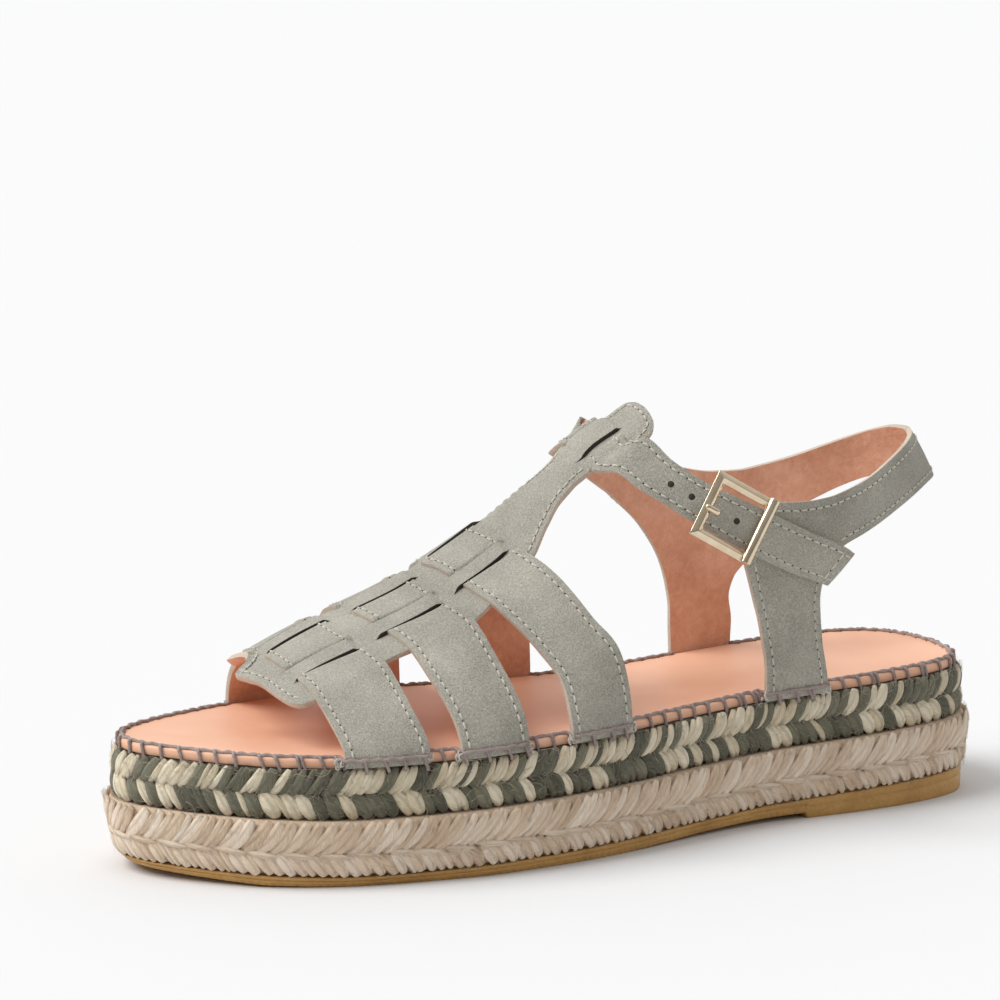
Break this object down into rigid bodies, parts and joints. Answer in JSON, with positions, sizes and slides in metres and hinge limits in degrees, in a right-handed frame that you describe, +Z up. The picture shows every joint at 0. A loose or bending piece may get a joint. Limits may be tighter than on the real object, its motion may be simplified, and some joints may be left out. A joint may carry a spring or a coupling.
{
  "type": "strap sandal",
  "caption": "Left strap sandal: woven cross straps on a long centre panel, ankle strap threaded through its head, square buckle, thick braided jute sole on rubber.",
  "frame": {"origin": "centre of the overall box in X and Y, on the floor plane under the flat of the heel block and forefoot", "axes": "+X from heel to toe, +Y to the shoe's outer side (the wearer's left), +Z up"},
  "size_m": [0.259, 0.0994, 0.1156],
  "materials": {
    "outsole": "satin honey rubber",
    "jute_base": "matt natural jute",
    "braid_band": "matt green and cream jute braid",
    "insole": "smooth peach leather",
    "upper": "matt grey-green suede with a peach lining",
    "buckle_frame": "polished pale gold",
    "buckle_prong": "polished pale gold"
  },
  "bodies": {
    "root": {"outsole": "outsole", "jute_base": "jute_base", "braid_band": "braid_band", "insole": "insole", "upper": "upper", "buckle_frame": "buckle_frame", "buckle_prong": "buckle_prong"}
  },
  "joints": []
}
